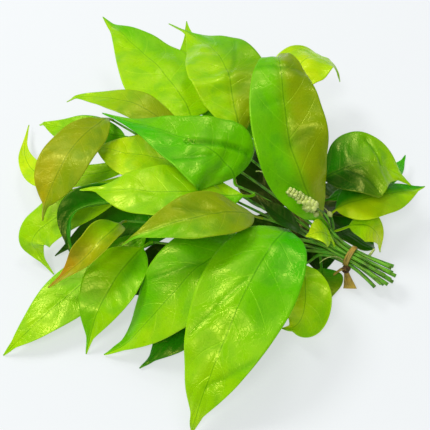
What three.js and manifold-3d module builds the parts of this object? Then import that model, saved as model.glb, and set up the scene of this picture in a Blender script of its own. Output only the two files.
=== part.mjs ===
// A tied bunch of young melinjo shoots (Gnetum gnemon), cut for the kitchen and laid on a table.
// Millimetres, +Z up. The bunch rests on z = 0; its cut ends point to +X and a little to -Y,
// and the leaves fan out from the tie towards -X, +Y and -Y. The origin is under the middle of the
// box.
import * as THREE from 'three';
import { mergeVertices } from 'three/addons/utils/BufferGeometryUtils.js';
import Module from 'manifold-3d';

const wasm = await Module();
wasm.setup();

// Stems: young shoots are thin and even, and taper towards their last leaves
const STEM_DIAMETER = 2.4;
const STEM_TIP_DIAMETER = 1.5;
const STEM_SIDES = 6;
const STEM_STEPS = 7;
const BUTT_STEPS = 2;
const CLEARANCE = 0.4;
const LAST_LEAF_GAP = 1.6;

// Leaves: a short petiole that flattens into a thin blade with a drip tip
const PETIOLE_LENGTH = 7;
const PETIOLE_DIAMETER = 1.7;
const BLADE_THICKNESS = 0.6;
const BLADE_STATIONS = [0, 0.12, 0.27, 0.43, 0.6, 0.76, 0.88, 1];
const BLADE_COLUMNS = [-1, -0.5, 0, 0.5, 1];
const BLADE_RIM = 0.3;
const BASE_SHARE = 0.15;
const BODY_SHARE = 0.88;
const DRIP_TIP_WIDTH = 0.12;
const HEADING_STEP = 0.002;

// The tie, where it grips the bundle, and the way the stems run through it to the leaves
const TIE_CENTRE = new THREE.Vector3(87, -27, 17);
const STEM_HEADING = THREE.MathUtils.degToRad(145);
const STEM_PITCH = STEM_DIAMETER + CLEARANCE;
const STEM_LEAD = 26;
const BUTT_LEAD = 9;
const TIE_INNER_RADIUS = 8.2;
const TIE_THICKNESS = 0.7;
const TIE_WIDTH = 5.5;
const KNOT_RADIUS = 2.6;
const BAND_STEPS = 10;
const KNOT_STEPS = [8, 6];
const WELD = 1e-4;
const KNOT_PLACE = [1.5, -8.4, -4.2];
const STRIP_END = [
  { place: [1.5, -8.7, -5], width: 3 },
  { place: [5, -11, -10.5], width: 6 },
  { place: [9, -13.5, -15.6], width: 10 },
];

const UP = new THREE.Vector3(0, 0, 1);
const ALONG = new THREE.Vector3(Math.cos(STEM_HEADING), Math.sin(STEM_HEADING), 0);
const ACROSS = new THREE.Vector3().crossVectors(ALONG, UP);

const FINISHES = {
  lime: new THREE.MeshStandardMaterial({ color: 0xa6d81a, roughness: 0.42 }),
  green: new THREE.MeshStandardMaterial({ color: 0x5fae0c, roughness: 0.4 }),
  deep: new THREE.MeshStandardMaterial({ color: 0x1f7a10, roughness: 0.45 }),
  bronze: new THREE.MeshStandardMaterial({ color: 0xa3951a, roughness: 0.45 }),
  stem: new THREE.MeshStandardMaterial({ color: 0x4f9a2a, roughness: 0.5 }),
  strip: new THREE.MeshStandardMaterial({ color: 0xb99b3c, roughness: 0.7 }),
};

// The shoots, each with the leaves that grow on it.
// slot: its place in the bundle, in stem pitches from the middle, [to the far side, up].
// butt: the cut end, in millimetres from the tie [back along the stem, to the far side, up].
// bend and end: the point that the stem bends towards after the tie, and where it ends.
// A leaf grows at the share `at` of the stem past the tie. Its midrib passes the points in
// `through`, the last of which is its tip. fold lifts both halves from the midrib, and curl
// bends them further towards the margins, [left, right]; both ease off where the blade narrows.
// Angles are in degrees. widest is the share of the blade's length at which it is widest.
const SHOOTS = [
  {
    name: '01', slot: [-1, 1.3], butt: [25, -2.4, 2], bend: [46, -8, 44], end: [14, 2, 52],
    leaves: [
      leaf('long_left', 0.88, [[-30, -12, 64], [-84, -3, 54]], 40, 'lime', { widest: 0.5 }),
      leaf('broad_top', 1, [[0, 14, 70], [-31, 30, 72], [-76, 63, 56]], 58, 'green', { widest: 0.3 }),
      leaf('small_middle', 0.15, [[68, -23, 36], [56, -27, 38]], 20, 'lime', {}),
    ],
  },
  {
    name: '02', slot: [-1.5, 0.43], butt: [29, -4.8, -1.8], bend: [52, -18, 36], end: [30, -16, 42],
    leaves: [
      leaf('long_front', 0.7, [[24, -62, 54], [0, -110, 34], [-13, -137, 1]],
        55, 'green', { widest: 0.42 }),
      leaf('short_middle', 0.5, [[40, -20, 49], [25, -5, 53]], 13, 'deep', { fold: 20 }),
      leaf('olive_left', 1, [[-10, -36, 71], [-54, -48, 58]], 34, 'bronze', {}),
    ],
  },
  {
    name: '03', slot: [-1, -0.43], butt: [25, -4.4, -5.2], bend: [50, -30, 17], end: [-39, -24, 28],
    leaves: [
      leaf('broad_low_left', 0.6, [[-6, -50, 44], [-36, -76, 27], [-67, -89, 2]], 50, 'lime', {}),
      leaf('narrow_low_left', 1, [[-64, -59, 28], [-78, -88, 1]], 36, 'green', { fold: 10 }),
      leaf('under_low_left', 0.75, [[-15, -70, 14], [-45, -98, 2]], 34, 'deep', {}),
    ],
  },
  {
    name: '04', slot: [-0.5, 0.43], butt: [29, -0.8, -1.2], bend: [30, -10, 22], end: [-56, -12, 34],
    leaves: [
      leaf('far_low_left', 0.92, [[-76, -43, 20], [-106, -72, 14], [-128, -89, 1]], 34, 'lime', {}),
      leaf('young_curled', 1, [[-66, -33, 46], [-80, -48, 42], [-102, -54, 22]],
        24, 'bronze', { curl: [60, 90] }),
      leaf('folded_left', 0.8, [[-81, -7, 44], [-88, -35, 25]], 25, 'deep', { fold: 50 }),
    ],
  },
  {
    name: '05', slot: [0, -0.43], butt: [28, 1.2, -4.6], bend: [10, 12, 36], end: [-70, 66, 46],
    leaves: [
      leaf('olive_far_left', 1, [[-83, 40, 62], [-99, 9, 57], [-110, -10, 32]],
        34, 'bronze', { widest: 0.56 }),
      leaf('tip_far_left', 0.85, [[-116, 35, 23], [-142, 102, 6]], 20, 'lime', {}),
      leaf('small_far_left', 0.92, [[-95, 62, 42], [-124, 73, 35]], 28, 'lime', {}),
      leaf('lobe_left', 0.8, [[-97, -3, 31], [-118, -16, 18], [-105, -32, 3]], 32, 'lime', {}),
    ],
  },
  {
    name: '06', slot: [0.5, 0.43], butt: [30, 3.2, -0.8], bend: [44, 14, 32], end: [-10, 44, 42],
    leaves: [
      leaf('arched_back', 1, [[-60, 70, 60], [-105, 87, 44]], 24, 'bronze', {}),
      leaf('under_top', 0.9, [[-48, 30, 50], [-84, 46, 44]], 42, 'lime', {}),
    ],
  },
  {
    name: '07', slot: [0, 1.3], butt: [27, 1.4, 2.2], bend: [48, 20, 46], end: [-14, 62, 46],
    leaves: [
      leaf('back_left', 1, [[-31, 100, 50], [-60, 147, 45], [-91, 195, 36]],
        64, 'lime', { widest: 0.34 }),
      leaf('back_middle', 0.8, [[11, 72, 70], [1, 114, 66], [-36, 173, 46]],
        54, 'lime', { widest: 0.54 }),
    ],
  },
  {
    name: '08', slot: [1, 1.3], butt: [26, 4.6, 2.6], bend: [62, 10, 44], end: [34, 60, 50],
    leaves: [
      leaf('drooping_middle', 0.3, [[47, 14, 76], [41, 66, 95], [39, 89, 70]],
        46, 'green', { widest: 0.4 }),
      leaf('back_narrow', 0.9, [[-4, 112, 40], [-23, 192, 34]], 46, 'lime', {}),
    ],
  },
  {
    name: '09', slot: [1, -0.43], butt: [30, 5.2, -3.8], bend: [66, 20, 24], end: [54, 74, 42],
    leaves: [
      leaf('hooked_back', 1, [[60, 110, 56], [80, 130, 48], [95, 126, 28]], 40, 'lime', {}),
      leaf('inner_back', 0.42, [[79, 22, 11], [84, 50, 2]], 38, 'deep', {}),
      leaf('low_back', 0.8, [[30, 110, 24], [10, 150, 1]], 44, 'deep', {}),
    ],
  },
  {
    name: '10', slot: [1.5, 0.43], butt: [26, 8.4, 0], bend: [68, 0, 26], end: [62, 14, 34],
    leaves: [
      leaf('broad_right', 1, [[90, 22, 50], [110, 25, 46], [129, 17, 35]], 56, 'lime', {}),
      leaf('spiked_right', 0.8, [[116, 38, 18], [139, 68, 9]], 18, 'green', {}),
    ],
  },
  {
    name: '11', slot: [1.5, -1.35], butt: [27, 8, -6], bend: [82, -10, 13], end: [77, 2, 20],
    leaves: [
      leaf('level_right', 1, [[93, 6, 33], [118, 13, 31], [143, 27, 22]], 32, 'deep', {}),
      leaf('stub_right', 0.7, [[100, -10, 26], [109, -17, 7]], 24, 'lime', {}),
      leaf('inner_right', 0.45, [[92, 2, 5], [112, 16, 1]], 42, 'deep', {}),
    ],
  },
  {
    name: '12', slot: [-1.5, -1.3], butt: [22, -6, -9.4], bend: [66, -28, 12], end: [56, -34, 18],
    leaves: [
      leaf('curled_front', 1, [[54, -54, 32], [53, -70, 18], [41, -72, 4]],
        32, 'lime', { curl: [20, 30], widest: 0.6 }),
      leaf('under_tie', 0.4, [[70, -37, 4], [73, -53, 1]], 26, 'bronze', {}),
    ],
  },
  {
    name: '13', slot: [-0.5, -1.3], butt: [26, -1.6, -8.6], bend: [30, -8, 12], end: [-20, -10, 14],
    leaves: [
      leaf('under_middle', 0.9, [[-40, -36, 12], [-80, -40, 4]], 36, 'deep', {}),
      leaf('under_front', 0.6, [[14, -56, 12], [0, -90, 1]], 40, 'deep', {}),
      leaf('inner_front', 0.4, [[66, -14, 5], [88, -12, 1]], 34, 'deep', {}),
      leaf('dark_left', 1, [[-62, -4, 22], [-106, -18, 4]], 46, 'deep', {}),
    ],
  },
  {
    name: '14', slot: [0.5, -1.3], butt: [30, 3.2, -8.2], bend: [30, 10, 14], end: [-20, 40, 18],
    leaves: [
      leaf('under_back', 1, [[-50, 66, 16], [-84, 80, 1]], 40, 'deep', {}),
      leaf('inner_middle', 0.3, [[44, 2, 7], [12, 8, 1]], 36, 'deep', {}),
      leaf('under_right', 0.5, [[34, 50, 16], [44, 96, 2]], 42, 'deep', {}),
    ],
  },
];

function leaf(name, at, through, width, finish, form) {
  const points = through.map((point) => new THREE.Vector3(...point));
  const flat = { widest: 0.42, fold: 0, curl: [0, 0] };
  return { name, at, through: points, width, finish, ...flat, ...form };
}

function pointOn(points, t) {
  // The smooth curve through all the points, which it meets at even steps of t from 0 to 1
  const row = points.map((point) => point.clone());
  const last = row.length - 1;
  for (let span = 1; span <= last; span += 1) {
    for (let i = 0; i + span <= last; i += 1) {
      row[i].lerp(row[i + 1], (t * last - i) / span);
    }
  }
  return row[0];
}

function frameAt(point, heading) {
  // The level direction to the right of a heading, and the direction that stands up from it
  const right = new THREE.Vector3().crossVectors(heading, UP).normalize();
  const normal = new THREE.Vector3().crossVectors(right, heading);
  return { point, right, normal };
}

function bladeFrame(point, heading, side) {
  // As frameAt, but steadied by the level direction to the right of the whole leaf, so that the
  // blade doesn't swing round where its midrib stands upright or turns sharply
  const right = new THREE.Vector3().crossVectors(heading, UP).add(side);
  right.addScaledVector(heading, -right.dot(heading)).normalize();
  const normal = new THREE.Vector3().crossVectors(right, heading);
  return { point, right, normal };
}

function loft(rings) {
  // One closed solid through rings of points, which run clockwise when looking from first to last.
  // A ring has an even number of points, and its two halves face each other, so that the ends
  // close with a row of faces from side to side. Both halves are split along the same diagonals,
  // or the two sides of a thin twisted blade would cut through each other.
  const size = rings[0].length;
  const positions = rings.flat().flatMap((point) => point.toArray());
  const faces = [];
  for (let ring = 0; ring + 1 < rings.length; ring += 1) {
    for (let i = 0; i < size; i += 1) {
      const a = ring * size + i;
      const b = ring * size + (i + 1) % size;
      if (i < size / 2) {
        faces.push(a, b, a + size, b, b + size, a + size);
      } else {
        faces.push(a, b, b + size, a, b + size, a + size);
      }
    }
  }
  const lastRing = (rings.length - 1) * size;
  for (let i = 0; i + 1 < size / 2; i += 1) {
    const across = size - 1 - i;
    faces.push(i, across - 1, i + 1, i, across, across - 1);
    faces.push(lastRing + i, lastRing + i + 1, lastRing + across - 1);
    faces.push(lastRing + i, lastRing + across - 1, lastRing + across);
  }
  const geometry = new THREE.BufferGeometry();
  geometry.setAttribute('position', new THREE.Float32BufferAttribute(positions, 3));
  geometry.setIndex(faces);
  geometry.computeVertexNormals();
  return geometry;
}

function bundlePoint([back, aside, up]) {
  // A point given from the middle of the tie: back along the stems, to the far side, and up
  return TIE_CENTRE.clone()
    .addScaledVector(ALONG, -back)
    .addScaledVector(ACROSS, aside)
    .addScaledVector(UP, up);
}

function stemCurves(shoot) {
  // The butt behind the tie and the stem in front of it, which meet in the shoot's slot
  const slot = bundlePoint([0, shoot.slot[0] * STEM_PITCH, shoot.slot[1] * STEM_PITCH]);
  const cutEnd = bundlePoint(shoot.butt);
  const buttLead = slot.clone().addScaledVector(ALONG, -BUTT_LEAD);
  const butt = new THREE.QuadraticBezierCurve3(cutEnd, buttLead, slot);
  const lead = slot.clone().addScaledVector(ALONG, STEM_LEAD);
  const bend = new THREE.Vector3(...shoot.bend);
  const end = new THREE.Vector3(...shoot.end);
  return { butt, stem: new THREE.CubicBezierCurve3(slot, lead, bend, end) };
}

function stemGeometry({ butt, stem }) {
  const stations = [];
  for (let i = 0; i < BUTT_STEPS; i += 1) {
    stations.push({ curve: butt, t: i / BUTT_STEPS, radius: STEM_DIAMETER / 2 });
  }
  for (let i = 0; i <= STEM_STEPS; i += 1) {
    const t = i / STEM_STEPS;
    const diameter = THREE.MathUtils.lerp(STEM_DIAMETER, STEM_TIP_DIAMETER, t);
    stations.push({ curve: stem, t, radius: diameter / 2 });
  }
  return loft(stations.map(({ curve, t, radius }) => {
    const { point, right, normal } = frameAt(curve.getPoint(t), curve.getTangent(t));
    return Array.from({ length: STEM_SIDES }, (_, side) => {
      const turn = (side / STEM_SIDES) * 2 * Math.PI;
      return point.clone()
        .addScaledVector(right, radius * Math.cos(turn))
        .addScaledVector(normal, -radius * Math.sin(turn));
    });
  }));
}

function petioleStart({ stem }, grown) {
  // A last leaf goes on from the end of the stem; the others leave it square to its side
  const point = stem.getPoint(grown.at);
  const heading = stem.getTangent(grown.at);
  if (grown.at === 1) {
    return point.addScaledVector(heading, LAST_LEAF_GAP);
  }
  const outward = grown.through[0].clone().sub(point);
  outward.addScaledVector(heading, -outward.dot(heading)).normalize();
  const reach = (STEM_DIAMETER + PETIOLE_DIAMETER) / 2 + CLEARANCE;
  return point.addScaledVector(outward, reach);
}

function bladeShare(s, widest) {
  // Half the width of the blade along it, as a share of the widest: an oval with a drip tip
  const body = Math.min(s / BODY_SHARE, 1);
  const peak = (widest ** widest) * ((1 - widest) ** (1 - widest));
  const oval = ((body ** widest) * ((1 - body) ** (1 - widest)) / peak) ** 2;
  const drip = DRIP_TIP_WIDTH * Math.min(1, s / BASE_SHARE, (1 - s) / (1 - BODY_SHARE));
  return oval * (1 - drip) + drip;
}

function marginBend(share, bend, curl) {
  // How far out and up a point lies at a share of the way to the margin of a bent half blade
  if (curl === 0) {
    return [share * Math.cos(bend), share * Math.sin(bend)];
  }
  return [
    (Math.sin(bend + curl * share) - Math.sin(bend)) / curl,
    (Math.cos(bend) - Math.cos(bend + curl * share)) / curl,
  ];
}

function leafRing(grown, midrib, t, s) {
  // The outline of the leaf cut across its midrib: along the top to the right, and back below
  const ahead = pointOn(midrib, t + HEADING_STEP);
  const heading = ahead.sub(pointOn(midrib, t - HEADING_STEP)).normalize();
  const chord = midrib[midrib.length - 1].clone().sub(midrib[0]);
  const side = chord.cross(UP).normalize();
  const { point, right, normal } = bladeFrame(pointOn(midrib, t), heading, side);
  const spread = THREE.MathUtils.smoothstep(s, 0, BASE_SHARE);
  const least = THREE.MathUtils.lerp(PETIOLE_DIAMETER / 2, BLADE_RIM, spread);
  const half = least + bladeShare(s, grown.widest) * grown.width / 2;
  const thickness = THREE.MathUtils.lerp(PETIOLE_DIAMETER, BLADE_THICKNESS, spread);
  const fullness = half / (grown.width / 2);
  const bend = THREE.MathUtils.degToRad(grown.fold) * fullness;
  const rim = (column, lift) => {
    const curl = THREE.MathUtils.degToRad(grown.curl[column < 0 ? 0 : 1]) * fullness;
    const [out, up] = marginBend(Math.abs(column), bend, curl);
    const lean = (bend + curl * Math.abs(column)) * Math.sign(column);
    return point.clone()
      .addScaledVector(right, half * out * Math.sign(column) - lift * Math.sin(lean))
      .addScaledVector(normal, half * up + lift * Math.cos(lean));
  };
  return [
    ...BLADE_COLUMNS.map((column) => rim(column, thickness / 2)),
    ...BLADE_COLUMNS.toReversed().map((column) => rim(column, -thickness / 2)),
  ];
}

function leafGeometry(curves, grown) {
  const midrib = [petioleStart(curves, grown), ...grown.through];
  let length = 0;
  for (let i = 1; i < midrib.length; i += 1) {
    length += midrib[i].distanceTo(midrib[i - 1]);
  }
  const petiole = PETIOLE_LENGTH / length;
  const rings = BLADE_STATIONS.map((s) => {
    const t = THREE.MathUtils.lerp(petiole, 1, s);
    return leafRing(grown, midrib, t, s);
  });
  return loft([leafRing(grown, midrib, 0, 0), ...rings]);
}

function solid(geometry) {
  // A geometry as a solid that can be joined with another
  const bare = new THREE.BufferGeometry();
  bare.setAttribute('position', geometry.getAttribute('position'));
  bare.setIndex(geometry.index);
  const merged = mergeVertices(bare, WELD);
  return new wasm.Manifold(new wasm.Mesh({
    numProp: 3,
    vertProperties: new Float32Array(merged.getAttribute('position').array),
    triVerts: new Uint32Array(merged.index.array),
  }));
}

function stripEndGeometry() {
  // The loose end of the strip, which widens as it hangs from the knot to the table
  const face = new THREE.Vector3().addVectors(UP, ACROSS.clone().negate()).setLength(TIE_THICKNESS / 2);
  return loft(STRIP_END.map(({ place, width }) => {
    const middle = bundlePoint(place);
    return [[-1, 1], [1, 1], [1, -1], [-1, -1]].map(([side, lift]) => middle.clone()
      .addScaledVector(ALONG, side * width / 2)
      .addScaledVector(face, lift));
  }));
}

function tieGeometry() {
  // One bamboo strip: a band round the bundle, a knot at its near side, and an end that hangs down
  const ring = new THREE.Shape().absarc(0, 0, TIE_INNER_RADIUS + TIE_THICKNESS, 0, 2 * Math.PI);
  ring.holes.push(new THREE.Path().absarc(0, 0, TIE_INNER_RADIUS, 0, 2 * Math.PI));
  const options = { depth: TIE_WIDTH, bevelEnabled: false, curveSegments: BAND_STEPS };
  const band = new THREE.ExtrudeGeometry(ring, options);
  band.translate(0, 0, -TIE_WIDTH / 2);
  band.applyMatrix4(new THREE.Matrix4().makeBasis(ACROSS, UP, ALONG.clone().negate()));
  band.translate(...TIE_CENTRE);
  const knot = new THREE.SphereGeometry(KNOT_RADIUS, ...KNOT_STEPS);
  knot.translate(...bundlePoint(KNOT_PLACE));
  const joined = solid(band).add(solid(knot)).add(solid(stripEndGeometry()));
  const { vertProperties, triVerts } = joined.getMesh();
  const geometry = new THREE.BufferGeometry();
  geometry.setAttribute('position', new THREE.BufferAttribute(vertProperties, 3));
  geometry.setIndex(new THREE.BufferAttribute(triVerts, 1));
  geometry.computeVertexNormals();
  return geometry;
}

function mesh(name, geometry, finish) {
  const piece = new THREE.Mesh(geometry, FINISHES[finish].clone());
  piece.name = name;
  return piece;
}

const bunch = new THREE.Group();
for (const shoot of SHOOTS) {
  const curves = stemCurves(shoot);
  bunch.add(mesh(`stem_${shoot.name}`, stemGeometry(curves), 'stem'));
  for (const grown of shoot.leaves) {
    bunch.add(mesh(`leaf_${shoot.name}_${grown.name}`, leafGeometry(curves, grown), grown.finish));
  }
}
bunch.add(mesh('tie_strip', tieGeometry(), 'strip'));

// The origin goes under the middle of the bunch, at the level that it rests on
const box = new THREE.Box3().setFromObject(bunch);
const centre = box.getCenter(new THREE.Vector3());
bunch.position.set(-centre.x, -centre.y, -box.min.z);

export default bunch;
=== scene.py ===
# %% [markdown]
# # A tied bunch of melinjo shoots
#
# Melinjo is a tree whose young shoots are eaten as a vegetable. They are sold as here: a dozen
# or so thin green stems, tied near their cut ends with a strip of split bamboo. The leaves fan
# out from the tie, long and oval, with a drip tip and a waxy shine.
#
# The imported model is a fixed frame: it says where each stem, leaf and strip is, and how big.
# This lesson gives every one of them its real surface. It starts by loading that frame.

# %% Load the frame
import math

import bpy
import numpy as np
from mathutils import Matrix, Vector


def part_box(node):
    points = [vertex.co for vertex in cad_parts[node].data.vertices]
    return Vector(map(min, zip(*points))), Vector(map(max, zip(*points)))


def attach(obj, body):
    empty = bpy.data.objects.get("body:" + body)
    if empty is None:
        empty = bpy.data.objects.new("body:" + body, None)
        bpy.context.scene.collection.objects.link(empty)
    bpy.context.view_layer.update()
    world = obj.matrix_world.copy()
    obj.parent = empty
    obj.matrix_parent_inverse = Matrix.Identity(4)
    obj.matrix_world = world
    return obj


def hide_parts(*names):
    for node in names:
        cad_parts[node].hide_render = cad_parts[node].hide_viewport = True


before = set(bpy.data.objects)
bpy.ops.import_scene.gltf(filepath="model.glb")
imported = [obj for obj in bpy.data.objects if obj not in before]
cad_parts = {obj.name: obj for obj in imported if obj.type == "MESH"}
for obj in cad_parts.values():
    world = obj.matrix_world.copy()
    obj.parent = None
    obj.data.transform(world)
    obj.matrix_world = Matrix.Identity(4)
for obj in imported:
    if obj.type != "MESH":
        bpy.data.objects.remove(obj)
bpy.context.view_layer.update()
print("pieces in the frame:", len(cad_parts))

# %% [markdown]
# ## Driving dimensions
#
# A leaf could be sculpted by hand, but a bunch has dozens that all grow by the same plan. So each
# is worked out from a few sizes: how thick a stem is, how a blade widens and narrows, and where
# its midrib runs. They are in millimetres, as a grower would give them, and turn into metres only
# when a mesh is made.

# %% Driving dimensions
MM = 0.001

STEM_DIAMETER = 2.4
STEM_TIP_DIAMETER = 1.5
STEM_PITCH = 2.8
STEM_LEAD = 26
BUTT_LEAD = 9
STEM_HEADING = math.radians(145)
TIE_CENTRE = np.array([87.0, -27.0, 17.0])

PETIOLE_LENGTH = 7
PETIOLE_DIAMETER = 1.7
LEAF_GAP = 0.4
LAST_LEAF_GAP = 1.6
BASE_SHARE = 0.15
BODY_SHARE = 0.88
DRIP_TIP_WIDTH = 0.12
BLADE_RIM = 0.3

UP = np.array([0.0, 0.0, 1.0])
ALONG = np.array([math.cos(STEM_HEADING), math.sin(STEM_HEADING), 0.0])
ACROSS = np.cross(ALONG, UP)
print("the stems run from the tie towards:", ALONG.round(2))

# %% [markdown]
# ## Leaf colours
#
# Young leaves open bronze, turn yellow-green and end in deep green, and one blade often passes
# from one to the next. Each blade gets the colours of its four corners: its base and its tip, on
# the left and on the right. Colours are easiest to choose as they look on a screen, so a helper
# turns them into the linear values that Blender mixes light with.

# %% Leaf colours
TONES = {
    "lemon": (206, 242, 12),
    "lime": (164, 226, 2),
    "grass": (110, 204, 1),
    "green": (62, 194, 1),
    "leafy": (34, 146, 2),
    "deep": (8, 84, 6),
    # shade is painted shade, not a colour a leaf grows into: it darkens blades that lie in shadow
    "shade": (5, 40, 6),
    "olive": (140, 172, 3),
    "gold": (176, 178, 5),
    "amber": (186, 142, 12),
}


def linear(colour):
    share = np.array(colour) / 255
    return np.where(share < 0.04045, share / 12.92, ((share + 0.055) / 1.055) ** 2.4)


def paint(colour):
    return (*linear(colour), 1)


print("leaf tones:", ", ".join(TONES))

# %% [markdown]
# ## The shoots
#
# The list says how the bunch is laid out. A shoot has its slot in the bundle, its cut end behind
# the tie, the point it bends towards and its end. A leaf has its share of the way along the stem,
# the points its midrib passes and its width. `widest` is how far along it is broadest, `fold` lifts
# both halves like a book, `curl` rolls their margins and `wave` says how wavy it is. A crease runs
# from one spot of the blade to another, both as (along, across) shares, with its depth in
# millimetres.


# %% What a leaf is
def leaf(name, at, through, width, slot, tones, **form):
    corners = tones if len(tones) == 4 else (tones[0], tones[0], tones[1], tones[1])
    plain = {"widest": 0.42, "fold": 0, "curl": (0, 0), "wave": 1.0, "creases": ()}
    points = [np.array(point, float) for point in through]
    return {
        "name": name, "at": at, "through": points, "width": width,
        "slot": slot, "tones": corners, **plain, **form,
    }
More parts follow.
